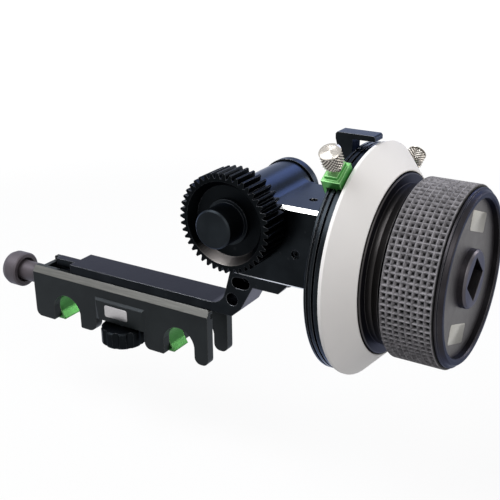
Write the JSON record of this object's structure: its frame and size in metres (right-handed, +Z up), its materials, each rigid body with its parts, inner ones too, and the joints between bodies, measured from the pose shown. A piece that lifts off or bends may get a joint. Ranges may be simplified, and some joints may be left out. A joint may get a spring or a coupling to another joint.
{
  "type": "follow focus unit",
  "caption": "Follow focus unit: a clamp for two support rods, a sliding arm, a geared box with a lens gear, and a knurled handwheel with a white marking disc and two stops.",
  "frame": {"origin": "midway between the two support rods, at their centre height, on the clamp's middle plane", "axes": "+X along the handwheel axis towards the wheel, +Y along the rods away from the drive gear's face, +Z up"},
  "size_m": [0.2161, 0.088, 0.1037],
  "materials": {
    "black_anodised": "satin black anodising",
    "plate_black": "bead-blasted black anodising",
    "green_anodised": "satin green anodising",
    "grey_anodised": "satin grey anodising",
    "aluminium_bare": "bare, machined",
    "steel": "ground",
    "nickel": "nickel plated",
    "bronze": "sintered bronze",
    "brass_gear": "cut brass",
    "grip_rubber": "matte, knurled",
    "white_plastic": "matte, can be written on"
  },
  "bodies": {
    "clamp": {"clamp_body": "plate_black", "screw_sleeve": "plate_black"},
    "clamp_knob_set": {"clamp_knob": "plate_black", "clamp_screw": "steel"},
    "jaws": {"jaw_carriage": "black_anodised", "jaw_left": "green_anodised", "jaw_right": "green_anodised"},
    "lock": {"lock_knob": "black_anodised", "lock_screw": "steel"},
    "arm_unit": {"arm": "black_anodised", "slide_key": "aluminium_bare", "key_screws": "steel", "arm_screws": "steel", "gearbox_housing": "black_anodised", "bottom_cover": "black_anodised", "cover_screws": "steel", "end_cap": "plate_black", "drive_bearing_front": "steel", "drive_bearing_rear": "steel", "counter_bushes": "bronze", "wheel_bearing_inner": "steel", "wheel_bearing_outer": "steel", "bearing_spacer": "aluminium_bare", "bearing_cover": "black_anodised", "grub_screws": "steel", "pointer": "black_anodised", "pointer_screw": "steel"},
    "drive": {"drive_gear": "black_anodised", "drive_shaft": "steel", "gear_nut": "plate_black", "drive_spur": "brass_gear"},
    "counter": {"counter_shaft": "steel", "counter_spur": "brass_gear", "counter_bevel": "brass_gear"},
    "wheel": {"wheel_shaft": "steel", "wheel_bevel": "brass_gear", "flange": "black_anodised", "handwheel": "black_anodised", "grip": "grip_rubber", "wheel_face": "grey_anodised", "socket_boss": "black_anodised"},
    "disc": {"marking_disc": "white_plastic", "disc_magnets": "steel"},
    "left_stop": {"stop_left": "green_anodised"},
    "right_stop": {"stop_right": "green_anodised"},
    "left_stop_screw": {"stop_screw_left": "nickel"},
    "right_stop_screw": {"stop_screw_right": "nickel"}
  },
  "joints": [
    {"name": "clamp_knob_turn", "type": "hinge", "parent": "clamp", "child": "clamp_knob_set", "pos_m": [-0.06, 0, 0.00995], "axis": [1, 0, 0], "range_deg": [-1171, 91]},
    {"name": "jaws_slide", "type": "slide", "parent": "clamp", "child": "jaws", "axis": [1, 0, 0], "range_m": [-0.0026, 0.0002]},
    {"name": "lock_knob_turn", "type": "hinge", "parent": "clamp", "child": "lock", "pos_m": [0, -0.00705, 0], "axis": [0, 0, 1], "range_deg": [-720, 0]},
    {"name": "arm_slide", "type": "slide", "parent": "clamp", "child": "arm_unit", "axis": [1, 0, 0], "range_m": [-0.02, 0.02]},
    {"name": "wheel_turn", "type": "hinge", "parent": "arm_unit", "child": "wheel", "pos_m": [0.1, 0, 0.051], "axis": [1, 0, 0], "range_deg": [-21, 49]},
    {"name": "drive_turn", "type": "hinge", "parent": "arm_unit", "child": "drive", "pos_m": [0.065, 0, 0.064], "axis": [0, 1, 0], "range_deg": [-21, 49]},
    {"name": "counter_turn", "type": "hinge", "parent": "arm_unit", "child": "counter", "pos_m": [0.065, 0, 0.051], "axis": [0, 1, 0], "range_deg": [-49, 21]},
    {"name": "disc_pull", "type": "slide", "parent": "wheel", "child": "disc", "axis": [1, 0, 0], "range_m": [0, 0.045]},
    {"name": "left_stop_travel", "type": "hinge", "parent": "wheel", "child": "left_stop", "pos_m": [0.105, 0, 0.051], "axis": [1, 0, 0], "range_deg": [0, 90]},
    {"name": "right_stop_travel", "type": "hinge", "parent": "wheel", "child": "right_stop", "pos_m": [0.105, 0, 0.051], "axis": [1, 0, 0], "range_deg": [-90, 0]},
    {"name": "left_stop_screw_turn", "type": "hinge", "parent": "left_stop", "child": "left_stop_screw", "pos_m": [0.1053, -0.02385, 0.08916], "axis": [0, -0.5299, 0.848], "range_deg": [0, 360]},
    {"name": "right_stop_screw_turn", "type": "hinge", "parent": "right_stop", "child": "right_stop_screw", "pos_m": [0.1053, 0.03897, 0.0735], "axis": [0, 0.866, 0.5], "range_deg": [0, 360]}
  ],
  "couplings": [
    {"joint": "clamp_knob_turn", "follows": "jaws_slide", "rad_per_m": 7854},
    {"joint": "drive_turn", "follows": "wheel_turn", "ratio": 1},
    {"joint": "counter_turn", "follows": "wheel_turn", "ratio": -1}
  ]
}
